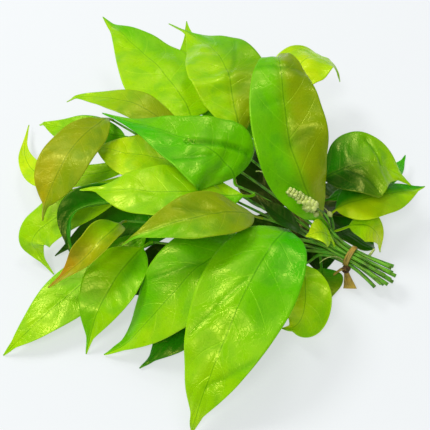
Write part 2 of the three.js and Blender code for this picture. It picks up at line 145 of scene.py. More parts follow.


# %% The shoots
# inner_back, inner_right, inner_front, inner_middle, under_middle, under_front, under_back, under_right,
# under_low_left and low_back lie deep in the bunch, where only shade falls: their shade and deep tones
# are painted shade
SHOOTS = [
    {
        "name": "01", "slot": (-1, 1.3), "butt": (25, -2.4, 2), "bend": (46, -8, 44), "end": (14, 2, 52),
        "leaves": [
            leaf("long_left", 0.88, [(-30, -12, 64), (-84, -3, 54)], 40, "leaf_lime",
                 ("grass", "lime", "lime", "lime"), widest=0.5, creases=[(0.2, -0.1, 0.5, -0.8, 0.7)]),
            leaf("broad_top", 1, [(0, 14, 70), (-31, 30, 72), (-76, 63, 56)], 58, "leaf_green",
                 ("grass", "grass", "green", "grass"), widest=0.3,
                 creases=[(0.1, 0.7, 0.5, -0.1, 2.2), (0.3, -0.1, 0.5, -0.8, 0.9)]),
            leaf("small_middle", 0.15, [(68, -23, 36), (56, -27, 38)], 20, "leaf_lime",
                 ("lime", "lemon")),
        ],
    },
    {
        "name": "02", "slot": (-1.5, 0.43), "butt": (29, -4.8, -1.8), "bend": (52, -18, 36),
        "end": (30, -16, 42),
        "leaves": [
            leaf("long_front", 0.7, [(24, -62, 54), (0, -110, 34), (-13, -137, 1)], 55, "leaf_green",
                 ("green", "grass", "lime", "lime"), widest=0.42,
                 creases=[(0.35, 0.1, 0.6, 0.9, 0.8), (0.6, -0.9, 0.75, 0.0, 0.6)]),
            leaf("short_middle", 0.5, [(40, -20, 49), (25, -5, 53)], 13, "leaf_deep",
                 ("deep", "shade"), fold=20),
            leaf("olive_left", 1, [(-10, -36, 71), (-54, -48, 58)], 34, "leaf_bronze",
                 ("olive", "olive", "grass", "olive"), creases=[(0.3, 0.0, 0.6, 0.7, 0.7)]),
        ],
    },
    {
        "name": "03", "slot": (-1, -0.43), "butt": (25, -4.4, -5.2), "bend": (50, -30, 17),
        "end": (-39, -24, 28),
        "leaves": [
            leaf("broad_low_left", 0.6, [(-6, -50, 44), (-36, -76, 27), (-67, -89, 2)], 50,
                 "leaf_lime", ("grass", "grass", "lime", "grass"), wave=0.7,
                 creases=[(0.3, 0.0, 0.55, 0.85, 0.8)]),
            leaf("narrow_low_left", 1, [(-64, -59, 28), (-78, -88, 1)], 36, "leaf_green",
                 ("grass", "lime", "lime", "grass"), fold=10, wave=0.5),
            leaf("under_low_left", 0.75, [(-15, -70, 14), (-45, -98, 2)], 34, "leaf_deep",
                 ("deep", "leafy")),
        ],
    },
    {
        "name": "04", "slot": (-0.5, 0.43), "butt": (29, -0.8, -1.2), "bend": (30, -10, 22),
        "end": (-56, -12, 34),
        "leaves": [
            leaf("far_low_left", 0.92, [(-76, -43, 20), (-106, -72, 14), (-128, -89, 1)], 34,
                 "leaf_lime", ("grass", "lime"), wave=0.5),
            leaf("young_curled", 1, [(-66, -33, 46), (-80, -48, 42), (-102, -54, 22)], 24,
                 "leaf_bronze", ("olive", "lime", "gold", "amber"), curl=(60, 90)),
            leaf("folded_left", 0.8, [(-81, -7, 44), (-88, -35, 25)], 25, "leaf_deep",
                 ("green", "leafy", "leafy", "deep"), fold=50),
        ],
    },
    {
        "name": "05", "slot": (0, -0.43), "butt": (28, 1.2, -4.6), "bend": (10, 12, 36),
        "end": (-70, 66, 46),
        "leaves": [
            leaf("olive_far_left", 1, [(-83, 40, 62), (-99, 9, 57), (-110, -10, 32)], 34,
                 "leaf_bronze", ("olive", "olive", "olive", "gold"), widest=0.56),
            leaf("tip_far_left", 0.85, [(-116, 35, 23), (-142, 102, 6)], 20, "leaf_lime",
                 ("lime", "lemon")),
            leaf("small_far_left", 0.92, [(-95, 62, 42), (-124, 73, 35)], 28, "leaf_lime",
                 ("grass", "lime")),
            leaf("lobe_left", 0.8, [(-97, -3, 31), (-118, -16, 18), (-105, -32, 3)], 32,
                 "leaf_lime", ("lime", "lime")),
        ],
    },
    {
        "name": "06", "slot": (0.5, 0.43), "butt": (30, 3.2, -0.8), "bend": (44, 14, 32),
        "end": (-10, 44, 42),
        "leaves": [
            leaf("arched_back", 1, [(-60, 70, 60), (-105, 87, 44)], 24, "leaf_bronze",
                 ("olive", "lime")),
            leaf("under_top", 0.9, [(-48, 30, 50), (-84, 46, 44)], 42, "leaf_lime",
                 ("lime", "lemon"), wave=0.5),
        ],
    },
    {
        "name": "07", "slot": (0, 1.3), "butt": (27, 1.4, 2.2), "bend": (48, 20, 46),
        "end": (-14, 62, 46),
        "leaves": [
            leaf("back_left", 1, [(-31, 100, 50), (-60, 147, 45), (-91, 195, 36)], 64, "leaf_lime",
                 ("lime", "lime", "lime", "grass"), widest=0.34),
            leaf("back_middle", 0.8, [(11, 72, 70), (1, 114, 66), (-36, 173, 46)], 54,
                 "leaf_lime", ("lime", "olive", "lime", "grass"), widest=0.54, wave=1.3,
                 creases=[(0.4, 0.0, 0.7, 0.8, 0.8)]),
        ],
    },
    {
        "name": "08", "slot": (1, 1.3), "butt": (26, 4.6, 2.6), "bend": (62, 10, 44), "end": (34, 60, 50),
        "leaves": [
            leaf("drooping_middle", 0.3, [(47, 14, 76), (41, 66, 95), (39, 89, 70)], 46,
                 "leaf_green", ("grass", "olive", "grass", "olive"), widest=0.4, wave=1.4,
                 creases=[(0.64, -0.8, 0.62, 0.8, 0.7), (0.45, -0.6, 0.48, 0.0, 0.5),
                          (0.3, 0.0, 0.34, 0.6, 0.5)]),
            leaf("back_narrow", 0.9, [(-4, 112, 40), (-23, 192, 34)], 46, "leaf_lime",
                 ("grass", "lime")),
        ],
    },
    {
        "name": "09", "slot": (1, -0.43), "butt": (30, 5.2, -3.8), "bend": (66, 20, 24),
        "end": (54, 74, 42),
        "leaves": [
            leaf("hooked_back", 1, [(60, 110, 56), (80, 130, 48), (95, 126, 28)], 40, "leaf_lime",
                 ("lemon", "lime")),
            leaf("inner_back", 0.42, [(79, 22, 11), (84, 50, 2)], 38, "leaf_deep",
                 ("shade", "deep")),
            leaf("low_back", 0.8, [(30, 110, 24), (10, 150, 1)], 44, "leaf_deep",
                 ("deep", "leafy")),
        ],
    },
    {
        "name": "10", "slot": (1.5, 0.43), "butt": (26, 8.4, 0), "bend": (68, 0, 26), "end": (62, 14, 34),
        "leaves": [
            leaf("broad_right", 1, [(90, 22, 50), (110, 25, 46), (129, 17, 35)], 56, "leaf_lime",
                 ("leafy", "deep", "lime", "lime"),
                 creases=[(0.2, 0.1, 0.45, 0.9, 1.2), (0.5, -0.8, 0.6, 0.0, 1.0)]),
            leaf("spiked_right", 0.8, [(116, 38, 18), (139, 68, 9)], 18, "leaf_green",
                 ("leafy", "green")),
        ],
    },
    {
        "name": "11", "slot": (1.5, -1.35), "butt": (27, 8, -6), "bend": (82, -10, 13),
        "end": (77, 2, 20),
        "leaves": [
            leaf("level_right", 1, [(93, 6, 33), (118, 13, 31), (143, 27, 22)], 32, "leaf_deep",
                 ("leafy", "lemon", "green", "lime")),
            leaf("stub_right", 0.7, [(100, -10, 26), (109, -17, 7)], 24, "leaf_lime",
                 ("lime", "lemon")),
            leaf("inner_right", 0.45, [(92, 2, 5), (112, 16, 1)], 42, "leaf_deep",
                 ("deep", "leafy")),
        ],
    },
    {
        "name": "12", "slot": (-1.5, -1.3), "butt": (22, -6, -9.4), "bend": (66, -28, 12),
        "end": (56, -34, 18),
        "leaves": [
            leaf("curled_front", 1, [(54, -54, 32), (53, -70, 18), (41, -72, 4)], 32, "leaf_lime",
                 ("lime", "lime", "lime", "lemon"), curl=(20, 30), widest=0.6),
            leaf("under_tie", 0.4, [(70, -37, 4), (73, -53, 1)], 26, "leaf_bronze",
                 ("leafy", "olive")),
        ],
    },
    {
        "name": "13", "slot": (-0.5, -1.3), "butt": (26, -1.6, -8.6), "bend": (30, -8, 12),
        "end": (-20, -10, 14),
        "leaves": [
            leaf("under_middle", 0.9, [(-40, -36, 12), (-80, -40, 4)], 36, "leaf_deep",
                 ("shade", "deep")),
            leaf("under_front", 0.6, [(14, -56, 12), (0, -90, 1)], 40, "leaf_deep",
                 ("shade", "deep")),
            leaf("inner_front", 0.4, [(66, -14, 5), (88, -12, 1)], 34, "leaf_deep",
                 ("shade", "deep")),
            leaf("dark_left", 1, [(-62, -4, 22), (-106, -18, 4)], 46, "leaf_deep",
                 ("leafy", "deep"), wave=0.2),
        ],
    },
    {
        "name": "14", "slot": (0.5, -1.3), "butt": (30, 3.2, -8.2), "bend": (30, 10, 14),
        "end": (-20, 40, 18),
        "leaves": [
            leaf("under_back", 1, [(-50, 66, 16), (-84, 80, 1)], 40, "leaf_deep",
                 ("deep", "leafy")),
            leaf("inner_middle", 0.3, [(44, 2, 7), (12, 8, 1)], 36, "leaf_deep",
                 ("shade", "deep")),
            leaf("under_right", 0.5, [(34, 50, 16), (44, 96, 2)], 42, "leaf_deep",
                 ("shade", "deep")),
        ],
    },
]
print("leaves in the list:", sum(len(shoot["leaves"]) for shoot in SHOOTS))

# %% [markdown]
# ## How a stem runs
#
# A stem is straight where the tie grips it, and bends freely on both sides. Two Bezier curves say
# just that: one from the cut end to the slot, and one from the slot to the stem's end. A point on
# either is a weighted mean of its corner points, which numpy works out for many shares at once.


# %% How a stem runs
def unit(vectors):
    return vectors / np.linalg.norm(vectors, axis=-1, keepdims=True)


def bezier(corners, shares):
    rows = [np.outer(np.ones_like(shares), corner) for corner in corners]
    weight = shares[:, None]
    while len(rows) > 1:
        rows = [a * (1 - weight) + b * weight for a, b in zip(rows, rows[1:])]
    return rows[0]


def bundle_point(back, aside, up):
    return TIE_CENTRE - ALONG * back + ACROSS * aside + UP * up


def stem_corners(shoot):
    column, row = shoot["slot"]
    slot = bundle_point(0, column * STEM_PITCH, row * STEM_PITCH)
    butt = [bundle_point(*shoot["butt"]), slot - ALONG * BUTT_LEAD, slot]
    stem = [slot, slot + ALONG * STEM_LEAD, np.array(shoot["bend"]), np.array(shoot["end"])]
    return butt, [np.array(corner, float) for corner in stem]


def headings(points):
    return unit(np.gradient(points, axis=0))


def level_frames(heading):
    right = unit(np.cross(heading, UP))
    return right, np.cross(right, heading)


first_stem = bezier(stem_corners(SHOOTS[0])[1], np.linspace(0, 1, 30))
first_length = np.sum(np.linalg.norm(np.diff(first_stem, axis=0), axis=1))
print("the first stem beyond the tie, mm:", round(first_length, 1))

# %% [markdown]
# ## Where the list lies in the frame
#
# The frame's origin is under the middle of the bunch, and the list above has an origin of its own.
# Guessing the shift by eye would be wrong by a hair everywhere. Instead each stem's solid is worked
# out again, as the six-sided tube that it is, and the lowest corner of its box is set against the
# same stem's in the frame. All the stems have to give the same shift, and the print shows it.

# %% Find the shift
SOLID_SIDES = 6
SOLID_STEPS = 7
SOLID_BUTT_STEPS = 2


def tangents(corners, shares):
    legs = [b - a for a, b in zip(corners, corners[1:])]
    return unit(bezier(legs, shares))


def tube_points(points, heading, radii, sides):
    right, normal = level_frames(heading)
    turn = np.arange(sides) / sides * 2 * math.pi
    out = right[:, None] * np.cos(turn)[None, :, None] - normal[:, None] * np.sin(turn)[None, :, None]
    return points[:, None] + out * np.asarray(radii)[:, None, None]


def solid_stem(shoot):
    butt, stem = stem_corners(shoot)
    back = np.arange(SOLID_BUTT_STEPS) / SOLID_BUTT_STEPS
    front = np.arange(SOLID_STEPS + 1) / SOLID_STEPS
    points = np.vstack([bezier(butt, back), bezier(stem, front)])
    heading = np.vstack([tangents(butt, back), tangents(stem, front)])
    taper = STEM_DIAMETER + (STEM_TIP_DIAMETER - STEM_DIAMETER) * front
    radii = np.concatenate([np.full(SOLID_BUTT_STEPS, STEM_DIAMETER), taper]) / 2
    return tube_points(points, heading, radii, SOLID_SIDES).reshape(-1, 3)


shifts = []
for shoot in SHOOTS:
    lowest = np.array(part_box("stem_" + shoot["name"])[0]) / MM
    shifts.append(lowest - solid_stem(shoot).min(axis=0))
SHIFT = np.mean(shifts, axis=0)
print("shift, mm:", SHIFT.round(3), "spread over the stems, mm:", np.ptp(shifts, axis=0).round(4))

# %% [markdown]
# ## Making a mesh
#
# Everything that follows is a row of rings, from a thin stem to a broad leaf, so one helper turns
# rings into a closed mesh. It also carries values that belong to the points, such as a leaf's
# colour, because a material can read them back at every spot of the surface. The piece then rides
# on the bunch's one body and takes the place of its plain solid.


# %% Rings into a mesh
def ring_faces(rings, size):
    ring = np.arange(rings - 1)[:, None] * size
    spot = np.arange(size)[None, :]
    after = (spot + 1) % size
    corners = [ring + spot, ring + after, ring + size + after, ring + size + spot]
    sides = np.stack(corners, axis=-1).reshape(-1, 4)
    half = np.arange(size // 2 - 1)
    across = size - 1 - half
    last = (rings - 1) * size
    start = np.stack([half, across, across - 1, half + 1], axis=-1)
    end = last + np.stack([half, half + 1, across - 1, across], axis=-1)
    return np.vstack([sides, start, end])


def piece_from_rings(name, rows, material, values=()):
    places, faces = np.zeros((0, 3)), np.zeros((0, 4), int)
    for rings in rows:
        faces = np.vstack([faces, ring_faces(*rings.shape[:2]) + len(places)])
        places = np.vstack([places, (rings.reshape(-1, 3) + SHIFT) * MM])
    mesh = bpy.data.meshes.new(name)
    mesh.from_pydata(places.tolist(), [], faces.tolist())
    for title, kind, numbers in values:
        field = "color" if kind == "FLOAT_COLOR" else "vector"
        made = mesh.attributes.new(title, kind, "POINT")
        made.data.foreach_set(field, np.ascontiguousarray(numbers, np.float32).ravel())
    mesh.polygons.foreach_set("use_smooth", np.ones(len(mesh.polygons), bool))
    mesh.materials.append(material)
    mesh.validate()
    piece = bpy.data.objects.new(name, mesh)
    bpy.context.scene.collection.objects.link(piece)
    return piece


def place(piece, node, slot):
    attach(piece, "root")
    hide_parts(node)
    return piece


# %% [markdown]
# ## Nodes that write nodes
#
# A leaf's finish needs a good many shader nodes. A few helpers keep their wiring readable. They
# add a node and fill or link its sockets, do a sum, turn a stretch of values into a soft mask from
# 0 to 1, mix two colours, and read a value that the mesh carries. Others start a material, give
# it relief or a Principled surface, and make and use a node group.


# %% Node helpers
def add(tree, kind, sockets=(), **settings):
    node = tree.nodes.new(kind)
    for name, value in settings.items():
        setattr(node, name, value)
    for socket, value in dict(sockets).items():
        if isinstance(value, bpy.types.NodeSocket):
            tree.links.new(value, node.inputs[socket])
        else:
            node.inputs[socket].default_value = value
    return node


def maths(tree, operation, *values):
    return add(tree, "ShaderNodeMath", dict(enumerate(values)), operation=operation).outputs[0]


def times(tree, value, factor):
    return maths(tree, "MULTIPLY", value, factor)


def mask(tree, value, none, full):
    sockets = {"Value": value, "From Min": none, "From Max": full}
    return add(tree, "ShaderNodeMapRange", sockets, interpolation_type="SMOOTHSTEP").outputs[0]


def blend(tree, share, under, over, kind="MIX"):
    node = add(tree, "ShaderNodeMix", data_type="RGBA", blend_type=kind)
    for socket, value in ((0, share), (6, under), (7, over)):
        if isinstance(value, bpy.types.NodeSocket):
            tree.links.new(value, node.inputs[socket])
        else:
            node.inputs[socket].default_value = value
    return node.outputs[2]


def tinted(tree, colour, gain):
    return blend(tree, 1.0, colour, (*gain, 1), "MULTIPLY")


def carried(tree, title, output="Vector"):
    return add(tree, "ShaderNodeAttribute", attribute_name=title).outputs[output]


def relief_normal(tree, height, strength, depth):
    sockets = {"Height": height, "Strength": strength, "Distance": depth * MM}
    return add(tree, "ShaderNodeBump", sockets).outputs[0]


def surface(tree, colour, rough, normal, **others):
    sockets = {"Base Color": colour, "Roughness": rough, "Normal": normal}
    for title, value in others.items():
        sockets[title.replace("_", " ")] = value
    return add(tree, "ShaderNodeBsdfPrincipled", sockets).outputs[0]


def new_material(name):
    material = bpy.data.materials.new(name)
    material.use_nodes = True
    material.node_tree.nodes.clear()
    return material, material.node_tree


def show(tree, shader):
    add(tree, "ShaderNodeOutputMaterial", {"Surface": shader})


def new_group(name, inputs, outputs):
    group = bpy.data.node_groups.new(name, "ShaderNodeTree")
    for title, kind, value in inputs:
        socket = group.interface.new_socket(title, in_out="INPUT", socket_type=kind)
        if value is not None:
            socket.default_value = value
    for title, kind in outputs:
        group.interface.new_socket(title, in_out="OUTPUT", socket_type=kind)
    return group, group.nodes.new("NodeGroupInput"), group.nodes.new("NodeGroupOutput")


def use_group(tree, group, **sockets):
    node = add(tree, "ShaderNodeGroup", node_tree=group)
    for title, value in sockets.items():
        socket = node.inputs[title.replace("_", " ")]
        if isinstance(value, bpy.types.NodeSocket):
            tree.links.new(value, socket)
        else:
            socket.default_value = value
    return node


FLOAT, VECTOR = "NodeSocketFloat", "NodeSocketVector"

# %% [markdown]
# ## Veins
#
# A melinjo blade has one strong midrib, pairs of side veins that sweep towards the tip, and a fine
# net between them. All three could be painted, but a pattern that knows where it is on the blade
# stays sharp at any size. Each blade carries two sets of values. Its place is the share across,
# the share along and a count of side veins. Its spot is the distance across and along, in
# millimetres, and which side of the blade it is on. The group turns them into masks, and every
# leaf material uses it.

# %% The vein group
NET_CELL = 2.6


def vein_group():
    inputs = [
        ("Place", VECTOR, None), ("Spot", VECTOR, None),
        ("Midrib Width", FLOAT, 0.7), ("Side Width", FLOAT, 0.05),
    ]
    outputs = [(title, FLOAT) for title in ("Midrib", "Flanks", "Side Veins", "Net", "Margin")]
    group, given, out = new_group("leaf veins", inputs, outputs)
    place_xyz = add(group, "ShaderNodeSeparateXYZ", {0: given.outputs["Place"]})
    spot_xyz = add(group, "ShaderNodeSeparateXYZ", {0: given.outputs["Spot"]})
    across = maths(group, "ABSOLUTE", place_xyz.outputs[0])
    narrowing = maths(group, "MULTIPLY_ADD", place_xyz.outputs[1], -0.6, 1.0)
    midrib_width = times(group, given.outputs["Midrib Width"], narrowing)
    from_midrib = maths(group, "DIVIDE", maths(group, "ABSOLUTE", spot_xyz.outputs[0]), midrib_width)
    flank = times(group, mask(group, from_midrib, 0.8, 1.2), mask(group, from_midrib, 3.2, 1.6))
    to_vein = maths(group, "PINGPONG", place_xyz.outputs[2], 0.5)
    thinner = maths(group, "MULTIPLY_ADD", across, -0.6, 1.0)
    side_width = times(group, given.outputs["Side Width"], thinner)
    side = mask(group, maths(group, "DIVIDE", to_vein, side_width), 1.0, 0.2)
    cells = add(
        group, "ShaderNodeTexVoronoi", {"Vector": given.outputs["Spot"], "Scale": 1 / NET_CELL},
        feature="DISTANCE_TO_EDGE",
    )
    links = {
        "Midrib": mask(group, from_midrib, 1.0, 0.35),
        "Flanks": flank,
        "Side Veins": times(group, side, mask(group, across, 0.97, 0.75)),
        "Net": mask(group, cells.outputs["Distance"], 0.13, 0.0),
        "Margin": mask(group, across, 0.95, 0.985),
    }
    for title, value in links.items():
        group.links.new(value, out.inputs[title])
    return group


veins = vein_group()
gives = [item.name for item in veins.interface.items_tree if item.in_out == "OUTPUT"]
print("group:", veins.name, "gives", gives)

# %% [markdown]
# ## Uneven growth
#
# No blade is one colour. Broad clouds make it yellower, patches of wax make it cooler and a little
# duller, and small specks are darker. The second group makes all three with noise, at two sizes,
# which costs little and never repeats.


# %% The growth group
WAX_SWIRL = 1.5


def growth_group():
    inputs = [("Spot", VECTOR, None), ("Cloud Size", FLOAT, 22.0), ("Speck Size", FLOAT, 3.5)]
    outputs = [("Clouds", FLOAT), ("Wax", FLOAT), ("Specks", FLOAT)]
    group, given, out = new_group("uneven growth", inputs, outputs)
    for title, size, detail, low, high in (
        ("Clouds", given.outputs["Cloud Size"], 3.0, 0.35, 0.65),
        ("Wax", given.outputs["Cloud Size"], 5.0, 0.4, 0.62),
        ("Specks", given.outputs["Speck Size"], 2.0, 0.62, 0.74),
    ):
        scale = maths(group, "DIVIDE", 1.0, size)
        sockets = {"Vector": given.outputs["Spot"], "Scale": scale, "Detail": detail}
        noise = add(group, "ShaderNodeTexNoise", sockets)
        if title == "Wax":
            noise.inputs["Distortion"].default_value = WAX_SWIRL
        group.links.new(mask(group, noise.outputs[0], low, high), out.inputs[title])
    return group


growth = growth_group()
print("group:", growth.name)

# %% [markdown]
# ## Leaf finishes
#
# The four finishes are for young lime, full green, deep green and bronze leaves. They differ in
# shine, in how pale their veins are and in how well the fine net shows. Each colour here is the
# leaf's own tone, made lighter, warmer, cooler or darker, so one recipe suits them all. A
# Principled shader gives the waxy surface, and a Translucent shader is mixed in, because light
# shows through a leaf this thin. The wax shines yellowish, so its tint holds little blue.
# The underside is paler and duller, so the blade says which side a point is on.

# %% Leaf materials
LEAF_FINISHES = {
    "leaf_lime": {"roughness": 0.27, "vein_tone": (206, 236, 60), "vein_share": 0.38, "net": 0.08},
    "leaf_green": {"roughness": 0.25, "vein_tone": (160, 222, 40), "vein_share": 0.38, "net": 0.1},
    "leaf_deep": {"roughness": 0.3, "vein_tone": (70, 150, 24), "vein_share": 0.35, "net": 0.1},
    "leaf_bronze": {"roughness": 0.3, "vein_tone": (214, 206, 60), "vein_share": 0.38, "net": 0.1},
}
THROUGH_LIGHT = 0.2
WAX_TINT = (1.0, 0.96, 0.16, 1)
WAX_SHINE = 0.85
VEIN_GAIN = (1.5, 1.35, 1.6)
WARM_GAIN = (1.35, 1.1, 1.0)
COOL_GAIN = (0.5, 0.78, 0.8)
DARK_GAIN = (0.5, 0.68, 0.4)
UNDERSIDE = (186, 218, 84)


def leaf_colour(tree, vein, grown, under, vein_tone, vein_share, net):
    tone = carried(tree, "tone", "Color")
    pale = blend(tree, 0.3, tinted(tree, tone, VEIN_GAIN), paint(vein_tone))
    cooled = blend(tree, times(tree, grown.outputs["Wax"], 0.55), tone, tinted(tree, tone, COOL_GAIN))
    warmer = tinted(tree, tone, WARM_GAIN)
    cloudy = blend(tree, times(tree, grown.outputs["Clouds"], 0.7), cooled, warmer)
    darker = tinted(tree, cloudy, DARK_GAIN)
    specked = blend(tree, times(tree, grown.outputs["Specks"], 0.35), cloudy, darker)
    netted = blend(tree, times(tree, vein.outputs["Net"], net), specked, pale)
    sided = blend(tree, times(tree, vein.outputs["Side Veins"], vein_share), netted, pale)
    flanked = blend(tree, times(tree, vein.outputs["Flanks"], 0.22), sided, pale)
    ribbed = blend(tree, times(tree, vein.outputs["Midrib"], 0.7), flanked, darker)
    rimmed = blend(tree, times(tree, vein.outputs["Margin"], 0.5), ribbed, pale)
    return blend(tree, times(tree, under, 0.25), rimmed, paint(UNDERSIDE))


def leaf_material(name, roughness, vein_tone, vein_share, net):
    material, tree = new_material(name)
    spot = carried(tree, "blade_spot")
    vein = use_group(tree, veins, Place=carried(tree, "blade_place"), Spot=spot)
    grown = use_group(tree, growth, Spot=spot)
    under = mask(tree, add(tree, "ShaderNodeSeparateXYZ", {0: spot}).outputs[2], 0.4, 0.6)
    colour = leaf_colour(tree, vein, grown, under, vein_tone, vein_share, net)
    dulled = maths(tree, "MULTIPLY_ADD", grown.outputs["Wax"], 0.2, roughness)
    rough = maths(tree, "MULTIPLY_ADD", under, 0.15, dulled)
    sunk = times(tree, vein.outputs["Side Veins"], -1.0)
    height = maths(tree, "MULTIPLY_ADD", vein.outputs["Net"], -0.35, sunk)
    normal = relief_normal(tree, height, 0.4, 0.3)
    waxy = surface(
        tree, colour, rough, normal, Specular_IOR_Level=WAX_SHINE, Specular_Tint=WAX_TINT,
    )
    lit = add(tree, "ShaderNodeBsdfTranslucent", {"Color": colour, "Normal": normal})
    mixed = add(tree, "ShaderNodeMixShader", {0: THROUGH_LIGHT, 1: waxy, 2: lit.outputs[0]})
    show(tree, mixed.outputs[0])
    return material


leaf_materials = {name: leaf_material(name, **finish) for name, finish in LEAF_FINISHES.items()}
print("leaf materials:", list(leaf_materials))

# %% [markdown]
# ## The run of a leaf
#
# A leaf starts in its stem, goes out along a short round stalk and becomes the midrib. The stalk
# is a Bezier curve that leaves the stem at a right angle, or in line with it for the leaf that ends
# a stem, and meets the midrib in line with it, so there is no gap and no kink. The midrib passes
# all its points on one smooth curve.

# %% The run of a leaf
STALK_STEPS = 10
BLADE_STEPS = 72
HEADING_STEP = 0.002
STALK_REACH = 2.6


def on_midrib(points, shares):
    rows = [np.outer(np.ones_like(shares), point) for point in points]
    last = len(rows) - 1
    for span in range(1, last + 1):
        for i in range(last + 1 - span):
            weight = ((shares * last - i) / span)[:, None]
            rows[i] = rows[i] * (1 - weight) + rows[i + 1] * weight
    return rows[0]


def leaf_run(shoot, grown):
    _, stem = stem_corners(shoot)
    at = np.array([grown["at"]], float)
    root, heading = bezier(stem, at)[0], tangents(stem, at)[0]
    if grown["at"] == 1:
        outward = heading
        start = root + heading * LAST_LEAF_GAP
    else:
        outward = grown["through"][0] - root
        outward = unit(outward - heading * (outward @ heading))
        start = root + outward * ((STEM_DIAMETER + PETIOLE_DIAMETER) / 2 + LEAF_GAP)
    midrib = [start, *grown["through"]]
    length = sum(np.linalg.norm(b - a) for a, b in zip(midrib, midrib[1:]))
    first = PETIOLE_LENGTH / length
    shares = first + (1 - first) * np.linspace(0, 1, BLADE_STEPS + 1)
    blade = on_midrib(midrib, shares)
    ahead = unit(on_midrib(midrib, shares + HEADING_STEP) - on_midrib(midrib, shares - HEADING_STEP))
    stalk = [root, root + outward * STALK_REACH, blade[0] - ahead[0] * STALK_REACH, blade[0]]
    steps = np.arange(STALK_STEPS) / STALK_STEPS
    return {
        "points": np.vstack([bezier(stalk, steps), blade]),
        "heading": np.vstack([tangents(stalk, steps), ahead]),
        "side": unit(np.cross(midrib[-1] - midrib[0], UP)),
        "length": length,
    }


runs = [leaf_run(shoot, grown)["length"] for shoot in SHOOTS for grown in shoot["leaves"]]
print("leaves with their stalks, mm, from", round(min(runs)), "to", round(max(runs)))

# %% [markdown]
# ## The form of a blade
#
# Seen from above, the outline is an oval that ends in a drip tip. Seen across, the midrib swells
# under a shallow channel, and the blade is puckered: it rises between the side veins and is held
# down along them. The margins wave a little, and the whole blade is crumpled, differently on each
# leaf. Here and there a blade was pressed into a crease, a soft groove whose bottom also gets
# painted shade in the leaf's colour. All of the form is real relief in the mesh, because shading
# alone would leave the edge of the leaf straight.

# %% The form of a blade
COLUMNS = 41
BLADE_THICKNESS = 0.36
VEIN_PAIRS = 8
VEIN_SWEEP = 0.13
PUCKER = 0.5
MARGIN_WAVE = 1.3
SOFT_WAVE = 0.9
CRUMPLES = ((41, 0.9), (25, 0.42), (15, 0.1))
CRUMPLE_WAYS = 2
USUAL_WIDTH = 40
CHANNEL_DEPTH = 0.45
CHANNEL_WIDTH = 2.4
MARGIN_BEATS = (11, 12.5)
PATCH_LENGTHS = (19, 12)
PATCH_LEAST = 0.1
COLUMN_CROWDING = 1.25
SWEEP_CURVE = 0.35
RIGHT_VEIN_SHIFT = 0.4
FLAT_TIP_FROM = 0.9
RIB_WIDTH = 0.9
RIB_TAPER = 0.7
RIB_ABOVE = 0.3
CREASE_WIDTH = 1.6
# How much painted shade darkens a blade's colour at the bottom of a crease, in red, green and blue
CREASE_SHADE = np.array([0.4, 0.22, 0.2])
RIB_RADIUS = 0.62
TABLE_LEVEL = 0.1 - SHIFT[2]


def smoothstep(values, low, high):
    share = np.clip((values - low) / (high - low), 0, 1)
    return share * share * (3 - 2 * share)


def blade_share(s, widest):
    body = np.minimum(s / BODY_SHARE, 1)
    peak = widest**widest * (1 - widest) ** (1 - widest)
    oval = (body**widest * (1 - body) ** (1 - widest) / peak) ** 2
    narrowing = np.minimum(s / BASE_SHARE, (1 - s) / (1 - BODY_SHARE))
    drip = DRIP_TIP_WIDTH * np.minimum(1, narrowing)
    return oval * (1 - drip) + drip


quarters = np.array([0.25, 0.5, 0.75, 1.0])
print("share of the full width at each quarter:", blade_share(quarters, 0.42).round(2))


def margin_bend(share, bend, curl):
    # Along an arc where the margin curls, along a straight line where it doesn't
    turned = bend + curl * share
    flat = np.abs(curl) < 1e-6
    safe = np.where(flat, 1, curl)
    out = np.where(flat, share * np.cos(bend), (np.sin(turned) - np.sin(bend)) / safe)
    up = np.where(flat, share * np.sin(bend), (np.cos(bend) - np.cos(turned)) / safe)
    return out, up, turned


def crease_depth(creases, s, across, along):
    # A soft groove along the line from one spot of the blade to another
    depth = np.zeros_like(across)
    shares, edge, length = s[:, 0], np.abs(across[:, -1]), along.max()
    for s_from, v_from, s_to, v_to, deep in creases:
        start = np.array([v_from * np.interp(s_from, shares, edge), s_from * length])
        line = np.array([v_to * np.interp(s_to, shares, edge), s_to * length]) - start
        share = ((across - start[0]) * line[0] + (along - start[1]) * line[1]) / (line @ line)
        share = np.clip(share, 0, 1)
        off = np.hypot(across - start[0] - share * line[0], along - start[1] - share * line[1])
        depth += deep * np.exp(-((off / CREASE_WIDTH) ** 2))
    return depth


def blade_relief(grown, s, v, across, along, phase, seed):
    chance = np.random.default_rng(seed)
    beat = chance.uniform(0, 2 * math.pi, 4)
    size = np.minimum(grown["width"] / USUAL_WIDTH, 1)
    inside = np.sin(math.pi * np.clip(np.abs(v), 0, 1)) ** 0.8
    drift = np.sin(along / PATCH_LENGTHS[0] + beat[2]) * np.cos(across / PATCH_LENGTHS[1] + beat[3])
    patch = (1 + PATCH_LEAST) / 2 + (1 - PATCH_LEAST) / 2 * drift
    pucker = PUCKER * size * (np.sin(math.pi * phase) ** 2 - 0.5) * inside * patch
    left, right = (np.sin(rate * s + start) for rate, start in zip(MARGIN_BEATS, beat))
    margin = np.where(v < 0, left, right) * v**2
    crumple = np.zeros_like(across)
    for length, height in CRUMPLES:
        for _ in range(CRUMPLE_WAYS):
            way, shift = chance.uniform(0, 2 * math.pi, 2)
            distance = across * math.cos(way) + along * math.sin(way)
            crumple += height * np.sin(distance / length * 2 * math.pi + shift)
    waves = (MARGIN_WAVE * margin + SOFT_WAVE * crumple) * size * grown["wave"]
    channel = -CHANNEL_DEPTH * np.exp(-((across / CHANNEL_WIDTH) ** 2)) * size
    return pucker + waves + channel


# %% [markdown]
# ## One leaf
#
# The rings cross the midrib, each along the top from the left margin to the right and back below.
# They stand square to the midrib, but are steadied by the leaf's own direction, or the blade would
# swing round where a midrib stands upright. What would dip below the table is lifted onto it.


